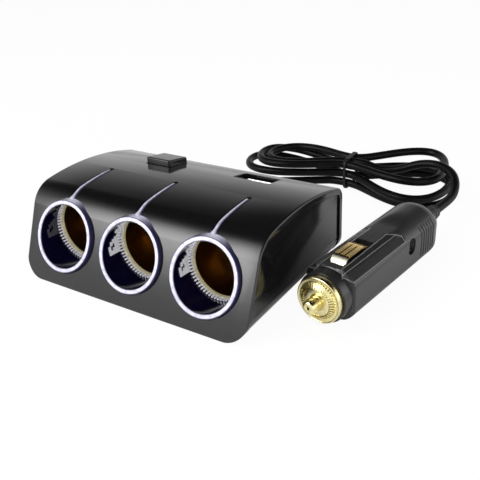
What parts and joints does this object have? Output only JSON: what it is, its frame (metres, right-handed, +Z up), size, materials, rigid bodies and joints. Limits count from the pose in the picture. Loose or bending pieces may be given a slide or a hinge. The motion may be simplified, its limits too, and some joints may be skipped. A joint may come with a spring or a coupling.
{
  "type": "car power socket splitter",
  "caption": "Sloped housing with a row of round car power sockets, a USB port and a push switch on top, and a coiled cord that ends in a car plug.",
  "frame": {"origin": "middle of the housing's footprint, on the surface it stands on", "axes": "+X along the row of sockets to the right as seen by the user, -Y towards the user, +Z up"},
  "size_m": [0.1319, 0.161, 0.0352],
  "materials": {
    "gloss_black": "high gloss injection-moulded plastic",
    "satin_black": "semi-gloss moulded plastic",
    "matt_black": "matt moulded plastic",
    "soft_black": "soft moulded rubber",
    "cord_rubber": "satin cord jacket",
    "guide_plastic": "milky clear light guide, faint lavender",
    "sleeve_plastic": "glossy dark blue-black plastic",
    "bright_metal": "bright nickel plate",
    "brass_plate": "polished brass plate",
    "spring_steel": "drawn wire",
    "screw_steel": "zinc plated steel",
    "insulator": "pressed insulating board",
    "board": "solder-masked board",
    "board_part": "moulded component bodies",
    "lamp": "clear lamp body",
    "white_plastic": "white moulded plastic",
    "fuse_glass": "clear glass tube"
  },
  "bodies": {
    "splitter": {"top_cover": "gloss_black", "base_housing": "gloss_black", "housing_screws": "screw_steel", "light_guide_left": "guide_plastic", "light_guide_middle": "guide_plastic", "light_guide_right": "guide_plastic", "socket_sleeve_left": "sleeve_plastic", "socket_sleeve_middle": "sleeve_plastic", "socket_sleeve_right": "sleeve_plastic", "tooth_ring_left": "bright_metal", "tooth_ring_middle": "bright_metal", "tooth_ring_right": "bright_metal", "socket_barrel_left": "brass_plate", "socket_barrel_middle": "brass_plate", "socket_barrel_right": "brass_plate", "ground_clip_left": "bright_metal", "ground_clip_middle": "bright_metal", "ground_clip_right": "bright_metal", "contact_insulators": "insulator", "contact_spring_left": "spring_steel", "contact_spring_middle": "spring_steel", "contact_spring_right": "spring_steel", "ground_bus": "brass_plate", "supply_bus": "brass_plate", "led_board": "board", "guide_leds": "lamp", "circuit_board": "board", "board_parts": "board_part", "usb_shell": "bright_metal", "usb_tongue": "white_plastic", "switch_body": "matt_black", "switch_spring": "spring_steel", "cord_gland": "soft_black", "cord_to_hank": "cord_rubber", "cord_hank": "cord_rubber", "cord_to_plug": "cord_rubber", "twist_tie": "matt_black", "plug_shell_right": "satin_black", "plug_shell_left": "satin_black", "plug_screw": "screw_steel", "fuse_spring": "spring_steel", "spring_seat": "brass_plate", "strain_relief": "soft_black"},
    "contact_left": {"centre_contact_left": "brass_plate"},
    "contact_middle": {"centre_contact_middle": "brass_plate"},
    "contact_right": {"centre_contact_right": "brass_plate"},
    "button": {"switch_button": "gloss_black"},
    "nose": {"plug_nose": "brass_plate"},
    "pin_and_fuse": {"plug_pin": "brass_plate", "fuse_glass": "fuse_glass", "fuse_caps": "bright_metal"},
    "upper_contact": {"side_contact_top": "brass_plate"},
    "lower_contact": {"side_contact_bottom": "brass_plate"}
  },
  "joints": [
    {"name": "centre_contact_left_press", "type": "slide", "parent": "splitter", "child": "contact_left", "axis": [0, 0.9969, -0.0785], "range_m": [0, 0.002], "stiffness_N_per_m": 1500, "springref_m": -0.001, "deforming": ["contact_spring_left"]},
    {"name": "centre_contact_middle_press", "type": "slide", "parent": "splitter", "child": "contact_middle", "axis": [0, 0.9969, -0.0785], "range_m": [0, 0.002], "stiffness_N_per_m": 1500, "springref_m": -0.001, "deforming": ["contact_spring_middle"]},
    {"name": "centre_contact_right_press", "type": "slide", "parent": "splitter", "child": "contact_right", "axis": [0, 0.9969, -0.0785], "range_m": [0, 0.002], "stiffness_N_per_m": 1500, "springref_m": -0.001, "deforming": ["contact_spring_right"]},
    {"name": "switch_press", "type": "slide", "parent": "splitter", "child": "button", "axis": [0, 0, -1], "range_m": [0, 0.0016], "stiffness_N_per_m": 800, "springref_m": -0.001, "deforming": ["switch_spring"]},
    {"name": "plug_pin_press", "type": "slide", "parent": "splitter", "child": "pin_and_fuse", "axis": [0.1392, 0.9903, 0], "range_m": [0, 0.003], "stiffness_N_per_m": 1200, "springref_m": -0.001, "deforming": ["fuse_spring"]},
    {"name": "nose_unscrew", "type": "hinge", "parent": "splitter", "child": "nose", "pos_m": [0.06471, -0.01148, 0.0105], "axis": [-0.1392, -0.9903, 0], "continuous": true},
    {"name": "upper_contact_press", "type": "hinge", "parent": "splitter", "child": "upper_contact", "pos_m": [0.06814, 0.01293, 0.01565], "axis": [0.9903, -0.1392, 0], "range_deg": [0, 5], "stiffness_Nm_per_rad": 2, "springref_deg": -5.73},
    {"name": "lower_contact_press", "type": "hinge", "parent": "splitter", "child": "lower_contact", "pos_m": [0.06814, 0.01293, 0.00535], "axis": [-0.9903, 0.1392, 0], "range_deg": [0, 5], "stiffness_Nm_per_rad": 2, "springref_deg": -5.73}
  ]
}
